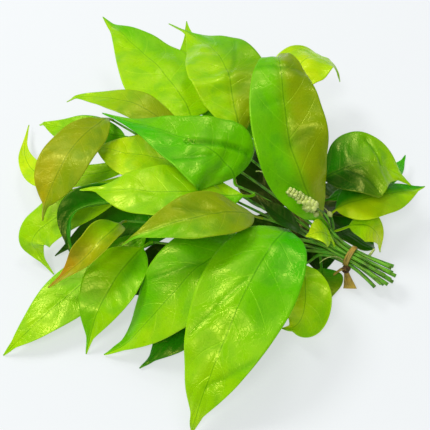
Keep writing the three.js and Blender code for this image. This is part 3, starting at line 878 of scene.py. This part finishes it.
# %% One leaf
def leaf_rings(shoot, grown, seed):
    run = leaf_run(shoot, grown)
    s = np.concatenate([np.zeros(STALK_STEPS), np.linspace(0, 1, BLADE_STEPS + 1)])[:, None]
    column = np.linspace(-1, 1, COLUMNS)
    v = (np.sign(column) * np.abs(column) ** COLUMN_CROWDING)[None, :]
    spread = smoothstep(s, 0, BASE_SHARE)
    least = PETIOLE_DIAMETER / 2 + (BLADE_RIM - PETIOLE_DIAMETER / 2) * spread
    half = least + blade_share(s, grown["widest"]) * grown["width"] / 2
    fullness = half / (grown["width"] / 2)
    bend = np.radians(grown["fold"]) * fullness
    curl = np.radians(np.where(v < 0, *grown["curl"])) * fullness
    out, up, turned = margin_bend(np.abs(v), bend, curl)
    lean = turned * np.sign(v)
    across, along = v * half, s * run["length"] + 0 * v
    sweep = VEIN_SWEEP * (np.abs(v) + SWEEP_CURVE * np.abs(v) ** 3)
    phase = VEIN_PAIRS * (s - sweep) + np.where(v < 0, 0.0, RIGHT_VEIN_SHIFT)
    tip_fade = 1 - smoothstep(s, FLAT_TIP_FROM, 1)
    creased = crease_depth(grown["creases"], s, across, along)
    relief = blade_relief(grown, s, v, across, along, phase, seed)
    lift = (relief - creased) * spread * tip_fade
    rib = RIB_RADIUS * (1 - RIB_TAPER * s) * np.exp(-((across / RIB_WIDTH) ** 2))
    round_stalk = PETIOLE_DIAMETER / 2 * np.sqrt(np.clip(1 - v**2, 0, 1))
    above = round_stalk * (1 - spread) + (BLADE_THICKNESS / 2 + RIB_ABOVE * rib) * spread
    below = round_stalk * (1 - spread) + (BLADE_THICKNESS / 2 + rib) * spread
    right = np.cross(run["heading"], UP) + run["side"]
    right = unit(right - run["heading"] * np.sum(right * run["heading"], axis=1, keepdims=True))
    normal = np.cross(right, run["heading"])

    def sheet(offset):
        aside = half * out * np.sign(v) - offset * np.sin(lean)
        height = half * up + offset * np.cos(lean)
        raised = normal[:, None] * height[..., None]
        return run["points"][:, None] + right[:, None] * aside[..., None] + raised

    top, bottom = sheet(lift + above), sheet(lift - below)
    sunk = np.maximum(TABLE_LEVEL - bottom[..., 2], 0)
    top[..., 2] += sunk
    bottom[..., 2] += sunk
    rings = np.concatenate([top, bottom[:, ::-1]], axis=1)
    field = {
        "s": s + 0 * v, "v": v + 0 * s, "phase": phase,
        "across": across, "along": along, "creased": creased,
    }
    return rings, field


def both_sides(values):
    return np.concatenate([values, values[:, ::-1]], axis=1)


def leaf_values(grown, field):
    s, right = field["s"], (field["v"] + 1) / 2
    tones = [linear(TONES[name]) for name in grown["tones"]]
    turn = smoothstep(s, 0.1, 0.9)[..., None]
    aside = smoothstep(right, 0.3, 0.7)[..., None]
    base = tones[0] * (1 - aside) + tones[1] * aside
    tip = tones[2] * (1 - aside) + tones[3] * aside
    # Painted shade: the colour is darkened where a crease runs deep
    crease_painted_shade = np.clip(field["creased"], 0, 1)[..., None] * CREASE_SHADE
    colour = both_sides((base * (1 - turn) + tip * turn) * (1 - crease_painted_shade))
    shape = colour.shape[:2]
    below = np.zeros(shape)
    below[:, shape[1] // 2:] = 1
    place_values = np.stack([both_sides(field[key]) for key in ("v", "s", "phase")], axis=-1)
    spot_values = np.stack([both_sides(field["across"]), both_sides(field["along"]), below], axis=-1)
    return [
        ("tone", "FLOAT_COLOR", np.concatenate([colour, np.ones((*shape, 1))], axis=-1)),
        ("blade_place", "FLOAT_VECTOR", place_values),
        ("blade_spot", "FLOAT_VECTOR", spot_values),
    ]


leaves = []
for shoot in SHOOTS:
    for grown in shoot["leaves"]:
        node = "leaf_" + shoot["name"] + "_" + grown["name"]
        rings, field = leaf_rings(shoot, grown, seed=len(leaves))
        values = leaf_values(grown, field)
        piece = piece_from_rings("dressed_" + node, [rings], leaf_materials[grown["slot"]], values)
        leaves.append(place(piece, node, grown["slot"]))
print("leaves made:", len(leaves), "faces in one:", len(leaves[0].data.polygons))

# %% [markdown]
# ## Stem finish
#
# A young stem is green, with paler streaks along it and darker patches. The paler streaks are
# partly the stem's own streaks and partly painted highlight. Where it was cut it shows pale,
# spotted wood. The streaks are noise that is stretched along the stem: the stem's points carry how
# far along they lie and which way round, so the noise can be squeezed in one direction only. Buds
# and the strip of the tie use the same group, with colours and a stretch of their own.

# %% Stem materials
STREAK_SCALE = (2.2, 2.2, 0.06)
STEM_TONE = (74, 168, 10)
# Paler streak colour: partly the stem's own streaks, partly painted highlight
STEM_STREAK_AND_HIGHLIGHT = (172, 222, 66)
STEM_DARK = (10, 70, 5)
CUT_DARK = (150, 140, 62)
CUT_PALE = (222, 222, 150)


def streak_group():
    inputs = [("Run", VECTOR, None), ("Stretch", VECTOR, STREAK_SCALE)]
    group, given, out = new_group("streaks along", inputs, [("Streaks", FLOAT), ("Patches", FLOAT)])
    run = given.outputs["Run"]
    sockets = {0: run, 1: given.outputs["Stretch"]}
    squeezed = add(group, "ShaderNodeVectorMath", sockets, operation="MULTIPLY").outputs[0]
    fine = add(group, "ShaderNodeTexNoise", {"Vector": squeezed, "Scale": 1.6, "Detail": 4.0})
    broad = add(group, "ShaderNodeTexNoise", {"Vector": run, "Scale": 0.11, "Detail": 3.0})
    group.links.new(mask(group, fine.outputs[0], 0.4, 0.66), out.inputs["Streaks"])
    group.links.new(mask(group, broad.outputs[0], 0.35, 0.65), out.inputs["Patches"])
    return group


streaks = streak_group()


def streaked(tree, lines, tones, share):
    dark, tone, pale = (paint(colour) for colour in tones)
    mottled = blend(tree, lines.outputs["Patches"], dark, tone)
    return blend(tree, times(tree, lines.outputs["Streaks"], share), mottled, pale)


def stem_material():
    material, tree = new_material("stem_green")
    lines = use_group(tree, streaks, Run=carried(tree, "stem_run"))
    colour = streaked(tree, lines, (STEM_DARK, STEM_TONE, STEM_STREAK_AND_HIGHLIGHT), 0.6)
    rough = maths(tree, "MULTIPLY_ADD", lines.outputs["Patches"], 0.12, 0.34)
    normal = relief_normal(tree, lines.outputs["Streaks"], 0.4, 0.15)
    show(tree, surface(tree, colour, rough, normal, Specular_IOR_Level=0.3))
    return material


def cut_material():
    material, tree = new_material("stem_cut")
    run = carried(tree, "stem_run")
    spots = add(tree, "ShaderNodeTexNoise", {"Vector": run, "Scale": 2.4, "Detail": 3.0})
    share = mask(tree, spots.outputs[0], 0.35, 0.6)
    colour = blend(tree, share, paint(CUT_DARK), paint(CUT_PALE))
    rough = maths(tree, "MULTIPLY_ADD", share, 0.1, 0.6)
    show(tree, surface(tree, colour, rough, relief_normal(tree, share, 0.5, 0.1)))
    return material


stem_green, stem_cut = stem_material(), cut_material()
print("stem materials:", stem_green.name, stem_cut.name)

# %% [markdown]
# ## The stems
#
# A stem isn't a plain pipe. It swells a little at each joint where a leaf grows, and has faint
# ribs. Its cut end is two rings that close in on the middle, the inner one set back like a softer
# core, and they get the paler material.

# %% The stems
STEM_SIDES = 16
STEM_STEPS = 84
BUTT_STEPS = 14
JOINT_SWELL = 0.32
JOINT_LENGTH = 1.8
RIB_DEPTH = 0.035
RIBS = 4
CUT_RINGS = ((0.35, -0.12), (0.72, 0.0))
STREAK_STEP = 40.0


def stem_rings(shoot):
    butt, stem = stem_corners(shoot)
    back = np.arange(BUTT_STEPS) / BUTT_STEPS
    front = np.arange(STEM_STEPS + 1) / STEM_STEPS
    points = np.vstack([bezier(butt, back), bezier(stem, front)])
    heading = np.vstack([tangents(butt, back), tangents(stem, front)])
    taper = STEM_DIAMETER + (STEM_TIP_DIAMETER - STEM_DIAMETER) * front
    radii = np.concatenate([np.full(BUTT_STEPS, STEM_DIAMETER), taper]) / 2
    along = np.concatenate([[0], np.cumsum(np.linalg.norm(np.diff(points, axis=0), axis=1))])
    for grown in shoot["leaves"]:
        joint = np.interp(BUTT_STEPS + grown["at"] * STEM_STEPS, np.arange(len(along)), along)
        radii += JOINT_SWELL * np.exp(-(((along - joint) / JOINT_LENGTH) ** 2)) * (grown["at"] < 1)
    shares, outward = np.array(CUT_RINGS).T
    points = np.vstack([points[0] - np.outer(outward, heading[0]), points])
    heading = np.vstack([heading[:1]] * len(CUT_RINGS) + [heading])
    radii = np.concatenate([shares * radii[0], radii])
    along = np.concatenate([along[0] - outward, along])
    rings = tube_points(points, heading, radii, STEM_SIDES)
    turn = np.arange(STEM_SIDES) / STEM_SIDES * 2 * math.pi
    ribs = 1 + RIB_DEPTH * np.cos(RIBS * turn)
    rings = points[:, None] + (rings - points[:, None]) * ribs[None, :, None]
    around = np.stack([np.cos(turn), np.sin(turn)], axis=-1)[None] * radii[:, None, None]
    distance = np.broadcast_to(along[:, None, None], (*around.shape[:2], 1))
    return rings, np.concatenate([around, distance], axis=-1)


def mark_cut(piece):
    # The cut is the rings that close in and the cap inside them, the first of the mesh's two caps
    count, cap = len(piece.data.polygons), STEM_SIDES // 2 - 1
    start_cap = range(count - 2 * cap, count - cap)
    piece.data.materials.append(stem_cut)
    for face in piece.data.polygons:
        on_rings = face.index < STEM_SIDES * len(CUT_RINGS)
        face.material_index = int(on_rings or face.index in start_cap)


stems = []
for number, shoot in enumerate(SHOOTS):
    node = "stem_" + shoot["name"]
    rings, run = stem_rings(shoot)
    run = run + np.array([0, 0, number * STREAK_STEP])
    values = [("stem_run", "FLOAT_VECTOR", run)]
    piece = piece_from_rings("dressed_" + node, [rings], stem_green, values)
    mark_cut(piece)
    stems.append(place(piece, node, "stem"))
print("stems made:", len(stems), "rings in one:", len(rings))

# %% [markdown]
# ## Flower spikes, buds and stubs
#
# Shoots are picked with whatever grows on them. Melinjo flowers sit in whorls of tiny beads on a
# short spike, and here and there is a bud on a bent stalk, a bare tendril or the stub of a leaf
# that was torn off. They are too small for the solids, so they are made only here, from the same
# rings: a bead is a row of rings that swells and closes again, and a stalk is a thin tube along a
# Bezier curve.

# %% Bud finish
BUD_TONE = (196, 214, 96)
BUD_PALE = (240, 242, 176)
BUD_DARK = (128, 158, 34)


def bud_material():
    material, tree = new_material("bud")
    lines = use_group(tree, streaks, Run=carried(tree, "stem_run"), Stretch=(1.0, 1.0, 1.0))
    colour = streaked(tree, lines, (BUD_DARK, BUD_TONE, BUD_PALE), 0.6)
    rough = maths(tree, "MULTIPLY_ADD", lines.outputs["Streaks"], 0.15, 0.4)
    normal = relief_normal(tree, lines.outputs["Streaks"], 0.3, 0.1)
    show(tree, surface(tree, colour, rough, normal))
    return material


bud_cream = bud_material()
print("bud material:", bud_cream.name)

# %% Beads, stalks and spikes
BEAD_STEPS = 9
BEAD_SIDES = 10
STALK_SIDES = 8
BEAD_LEAST = 0.08
SPIKE_RADII = (0.7, 0.4)


def tube(corners, first, last, steps=16):
    shares = np.linspace(0, 1, steps)
    points, heading = bezier(corners, shares), tangents(corners, shares)
    return tube_points(points, heading, first + (last - first) * shares, STALK_SIDES)


def bead(middle, way, length, radius):
    share = np.linspace(0, 1, BEAD_STEPS)
    swell = radius * np.maximum(np.sin(math.pi * share) ** 0.7, BEAD_LEAST)
    points = middle + np.outer((share - 0.5) * length, way)
    return tube_points(points, np.broadcast_to(way, points.shape), swell, BEAD_SIDES)


def spike(start, end, whorls, beads, radius):
    # A thin bowed axis with whorls of beads, each turned by about half a bead against the last
    way = unit(end - start)
    right, normal = level_frames(way[None])
    chance = np.random.default_rng(whorls)
    rows = [tube([start, (start + end) / 2 + UP, end], *SPIKE_RADII)]
    for whorl in range(whorls):
        share = (whorl + 0.5) / whorls
        middle = start + (end - start) * share + UP * 2 * share * (1 - share)
        for number in range(beads):
            turn = (number + whorl / 2 + chance.uniform(-0.4, 0.4)) / beads * 2 * math.pi
            out = right[0] * math.cos(turn) + normal[0] * math.sin(turn)
            size = radius * (1.1 - 0.35 * share) * chance.uniform(0.6, 1.25)
            rows.append(bead(middle + out * (0.5 + size), unit(out + way * 0.5), size * 2.6, size))
    return rows


def extras():
    foot = np.array([61.0, -17.5, 54.0])
    yield "flower_spike", spike(foot, foot + [-17, 8, 8], 9, 8, 1.45), bud_cream
    yield "flower_spike_low", spike(foot + [2, 1, -5], foot + [-7, 1, 1], 5, 7, 1.3), bud_cream
    stalk = [np.array([73.5, -12, 26]), np.array([72.0, -16, 46]), foot]
    yield "flower_stalk", [tube(stalk, 0.8, 0.7)], stem_green
    for number, bud in enumerate((np.array([74.0, -4.0, 31.0]), np.array([35.0, 9.0, 50.0]))):
        stalk = [bud + [-9, 6, 1], bud + [-4, 6, 3], bud]
        yield f"bud_stalk_{number}", [tube(stalk, 0.4, 0.35)], bud_cream
        yield f"bud_{number}", [bead(bud, unit(np.array([0.5, -0.7, -0.4])), 4.4, 1.8)], bud_cream
    tip = np.array([67.0, -30.0, 13.0])
    tendril = [tip + [17, 0, 0], tip + [13, 4, 5], tip + [5, 4, 4], tip]
    yield "tendril", [tube(tendril, 0.5, 0.2)], bud_cream
    stub = np.array([100.0, -26.0, 19.0])
    yield "stub", [tube([stub + [-2, -2, -2], stub, stub + [1.5, 1.0, 2.5]], 1.0, 0.8)], bud_cream


small_pieces = []
for name, rows, finish in extras():
    run = np.concatenate([rings.reshape(-1, 3) for rings in rows])
    piece = piece_from_rings("small_" + name, rows, finish, [("stem_run", "FLOAT_VECTOR", run)])
    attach(piece, "root")
    small_pieces.append(piece)
print("small pieces:", [piece.name for piece in small_pieces])

# %% [markdown]
# ## The tie
#
# The tie is one strip split from a bamboo stem: flat, tan, and full of fibres that run along it. It
# is wound twice round the bundle and twisted into a dark knot below. One end hangs down and widens
# where it was torn, and the other is short. A ribbon helper sweeps a thin flat section along a
# line of points, so band, knot and both ends are four runs of the same strip.

# %% Strip finish
STRIP_TONE = (186, 150, 40)
STRIP_PALE = (222, 196, 92)
STRIP_DARK = (104, 76, 14)
STRIP_STRETCH = (0.06, 2.6, 1.0)
KNOT_TONES = ((46, 28, 12), (92, 58, 22), (140, 104, 48))


def strip_material(name, tones):
    material, tree = new_material(name)
    lines = use_group(tree, streaks, Run=carried(tree, "strip_run"), Stretch=STRIP_STRETCH)
    colour = streaked(tree, lines, tones, 0.7)
    rough = maths(tree, "MULTIPLY_ADD", lines.outputs["Streaks"], 0.15, 0.55)
    normal = relief_normal(tree, lines.outputs["Streaks"], 0.7, 0.2)
    show(tree, surface(tree, colour, rough, normal))
    return material


strip_tan = strip_material("strip_tan", (STRIP_DARK, STRIP_TONE, STRIP_PALE))
strip_knot = strip_material("strip_knot", KNOT_TONES)
print("strip materials:", strip_tan.name, strip_knot.name)

# %% The tie
STRIP_THICKNESS = 0.55
BAND_WIDTH = 2.9
BAND_TURNS = 2
BAND_STEPS = 150
BAND_GAP = 0.25
KNOT_PLACE = (1.5, -8.0, -4.0)
KNOT_TURNS = 1.9
KNOT_STEPS = 90
KNOT_WIDTH = 2.3
KNOT_THICKNESS = 0.8
KNOT_RADII = (2.1, 1.7)
RIBBON_COLUMNS = 7
RIBBON_CUP = 0.12
HULL_EASE = 9
END_STEPS = 40
END_WIDTH = 2.4
END_FLARE = 7.4
END_TWIST = 0.5
SHORT_END_STEPS = 26
SHORT_END_WIDTHS = (2.2, 1.0)
END_PLACES = ((1.5, -7.8, -4.6), (3.0, -9.0, -8.0), (7.0, -12.0, -11.0), (8.8, -13.5, -13.4))
SHORT_END_PLACES = ((1.0, -7.8, -3.4), (-1.5, -11.0, -2.6), (-2.5, -12.0, -6.5), (-4.0, -13.0, -9.5))


def ribbon(points, face, widths, thickness=STRIP_THICKNESS):
    # A flat section whose middle is raised a little, swept along the points
    heading = headings(points)
    face = unit(face - heading * np.sum(face * heading, axis=1, keepdims=True))
    aside = np.cross(heading, face)
    columns = np.linspace(-0.5, 0.5, RIBBON_COLUMNS)
    cup = RIBBON_CUP * np.cos(columns * 2 * math.pi)
    base = points[:, None] + aside[:, None] * (columns[None, :] * widths[:, None])[..., None]
    top = base + face[:, None] * (thickness / 2 + cup)[None, :, None]
    bottom = base + face[:, None] * (cup - thickness / 2)[None, :, None]
    along = np.concatenate([[0], np.cumsum(np.linalg.norm(np.diff(points, axis=0), axis=1))])
    across = columns[None, :] * widths[:, None]
    run = np.stack([np.broadcast_to(along[:, None], across.shape), across, 0 * across], axis=-1)
    return np.concatenate([top, bottom[:, ::-1]], axis=1)[:, ::-1], both_sides(run)[:, ::-1]


def bundle_hull(turn, clear):
    # How far out the stems reach in each direction, seen along them, with its corners eased
    slots = np.array([shoot["slot"] for shoot in SHOOTS]) * STEM_PITCH
    ways = np.stack([np.cos(turn), np.sin(turn)], axis=-1)
    furthest = np.max(ways @ slots.T, axis=1) + STEM_DIAMETER / 2 + clear
    ease, side = np.ones(HULL_EASE) / HULL_EASE, HULL_EASE // 2
    padded = np.concatenate([furthest[-side:], furthest, furthest[:side]])
    return ways * np.convolve(padded, ease, "valid")[:, None], ways


def band_ribbon():
    turn = np.linspace(0, BAND_TURNS * 2 * math.pi, BAND_STEPS)
    share = turn / turn[-1]
    outline, ways = bundle_hull(turn, BAND_GAP)
    outline = outline + ways * (STRIP_THICKNESS * 1.1 * share + STRIP_THICKNESS / 2)[:, None]
    slide = 0.5 * np.sin(turn * 0.5) + 0.3 * share
    points = TIE_CENTRE + outline[:, :1] * ACROSS + outline[:, 1:] * UP + slide[:, None] * ALONG
    face = ways[:, :1] * ACROSS + ways[:, 1:] * UP
    return ribbon(points, face, np.full(BAND_STEPS, BAND_WIDTH))


def knot_ribbon():
    turn = np.linspace(0, 2 * math.pi * KNOT_TURNS, KNOT_STEPS)
    long_way, high_way = KNOT_RADII
    circle = np.cos(turn)[:, None] * ALONG * long_way + np.sin(turn)[:, None] * UP * high_way
    bulge = (0.9 * np.sin(1.5 * turn + 0.6))[:, None] * ACROSS
    points = bundle_point(*KNOT_PLACE) + circle + bulge
    face = circle - bulge * 0.4 + ACROSS * 0.2
    return ribbon(points, face, np.full(KNOT_STEPS, KNOT_WIDTH), KNOT_THICKNESS)


def end_ribbon():
    corners = [bundle_point(*place) for place in END_PLACES]
    shares = np.linspace(0, 1, END_STEPS)
    points = bezier(corners, shares)
    widths = END_WIDTH + END_FLARE * shares**1.4
    twist = END_TWIST * shares
    face = np.cos(twist)[:, None] * (UP - ACROSS) + np.sin(twist)[:, None] * ALONG
    return ribbon(points, face, widths)


def short_end_ribbon():
    corners = [bundle_point(*place) for place in SHORT_END_PLACES]
    shares = np.linspace(0, 1, SHORT_END_STEPS)
    face = np.outer(np.ones_like(shares), UP - ACROSS)
    return ribbon(bezier(corners, shares), face, np.linspace(*SHORT_END_WIDTHS, SHORT_END_STEPS))


tie_pieces = []
for name, make, finish in (
    ("dressed_tie_band", band_ribbon, strip_tan),
    ("dressed_tie_knot", knot_ribbon, strip_knot),
    ("dressed_tie_end", end_ribbon, strip_tan),
    ("dressed_tie_short_end", short_end_ribbon, strip_tan),
):
    rings, run = make()
    piece = piece_from_rings(name, [rings], finish, [("strip_run", "FLOAT_VECTOR", run)])
    tie_pieces.append(place(piece, "tie_strip", "strip"))
print("runs of the strip:", [piece.name for piece in tie_pieces])

# %% [markdown]
# ## Floor, light and camera
#
# The bunch lies on a plain pale floor. A large soft lamp stands at the upper left, a second in
# front and a weak one behind, so the shadows are faint and fall to the right. A floor that only
# reflects would turn grey away from the lamps, so it also glows a little of its own. A pale world
# fills the shadows, but wax mirrors what is around it, and a room as bright as that would wash the
# greens out. So the world is much dimmer for mirrored rays than for all others. The camera looks
# down from the front, as one would at a kitchen table. Colours are shown as they are, with no
# film curve over them.

# %% Floor and light
FLOOR_SIZE = 16.0
ROOM_COLOUR = (0.96, 0.985, 1.0)
ROOM_LIGHT = 0.38
FLOOR_COLOUR = (0.32, 0.33, 0.335, 1)
FLOOR_GLOW = 0.58
MIRRORED_ROOM = 0.09
LAMP_TARGET = (0, 0, 0.03)
LAMPS = (
    ("window", (-1.24, 0.72, 1.9), 0.8, 25.5),
    ("front", (-0.6, -1.2, 2.0), 0.6, 15.5),
    ("back", (0.2, 1.2, 1.8), 0.6, 8.5),
)


def floor_material():
    material = bpy.data.materials.new("floor")
    material.use_nodes = True
    shader = material.node_tree.nodes["Principled BSDF"]
    shader.inputs["Base Color"].default_value = FLOOR_COLOUR
    shader.inputs["Roughness"].default_value = 0.9
    shader.inputs["Specular IOR Level"].default_value = 0.1
    shader.inputs["Emission Color"].default_value = (*ROOM_COLOUR, 1)
    shader.inputs["Emission Strength"].default_value = FLOOR_GLOW
    return material


def make_floor():
    half = FLOOR_SIZE / 2
    mesh = bpy.data.meshes.new("floor")
    corners = [(-half, -half, 0), (half, -half, 0), (half, half, 0), (-half, half, 0)]
    mesh.from_pydata(corners, [], [(0, 1, 2, 3)])
    mesh.materials.append(floor_material())
    floor = bpy.data.objects.new("floor", mesh)
    bpy.context.scene.collection.objects.link(floor)


def aim(thing, target):
    way = Vector(target) - thing.location
    thing.rotation_euler = way.to_track_quat("-Z", "Y").to_euler()


def make_lamp(name, spot, size, power):
    data = bpy.data.lights.new(name, "AREA")
    data.shape, data.size, data.energy = "DISK", size, power
    lamp = bpy.data.objects.new(name, data)
    bpy.context.scene.collection.objects.link(lamp)
    lamp.location = spot
    aim(lamp, LAMP_TARGET)


def make_world():
    world = bpy.data.worlds.new("studio")
    world.use_nodes = True
    tree = world.node_tree
    tree.nodes.clear()
    path = add(tree, "ShaderNodeLightPath")
    around = (*ROOM_COLOUR, 1)
    room = add(tree, "ShaderNodeBackground", {"Color": around, "Strength": ROOM_LIGHT})
    mirrored = add(tree, "ShaderNodeBackground", {"Color": around, "Strength": MIRRORED_ROOM})
    rays = {0: path.outputs["Is Glossy Ray"], 1: room.outputs[0], 2: mirrored.outputs[0]}
    seen = add(tree, "ShaderNodeMixShader", rays)
    add(tree, "ShaderNodeOutputWorld", {"Surface": seen.outputs[0]})
    bpy.context.scene.world = world


make_floor()
for lamp in LAMPS:
    make_lamp(*lamp)
make_world()
bpy.context.scene.view_settings.view_transform = "Standard"
print("lamps:", [name for name, *_ in LAMPS], "power in all, W:", sum(power for *_, power in LAMPS))

# %% Camera
CAMERA_LENS = 60
CAMERA_SENSOR = 36
CAMERA_TARGET_HEIGHT = 25.0
CAMERA_ELEVATION = math.radians(52)
CAMERA_DISTANCE = 469.4
bunch_middle = UP * CAMERA_TARGET_HEIGHT + SHIFT


def make_camera():
    data = bpy.data.cameras.new("camera")
    data.lens, data.sensor_width = CAMERA_LENS, CAMERA_SENSOR
    camera = bpy.data.objects.new("camera", data)
    bpy.context.scene.collection.objects.link(camera)
    back = np.array([0.0, -math.cos(CAMERA_ELEVATION), math.sin(CAMERA_ELEVATION)])
    camera.location = (bunch_middle + back * CAMERA_DISTANCE) * MM
    aim(camera, bunch_middle * MM)
    bpy.context.scene.camera = camera


make_camera()
print("middle of the bunch, mm:", bunch_middle.round(1))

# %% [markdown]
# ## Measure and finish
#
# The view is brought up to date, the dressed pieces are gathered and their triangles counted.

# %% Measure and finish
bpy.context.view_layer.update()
dressed = leaves + stems + small_pieces + tie_pieces
print("triangles in all:", sum(len(piece.data.polygons) * 2 for piece in dressed))
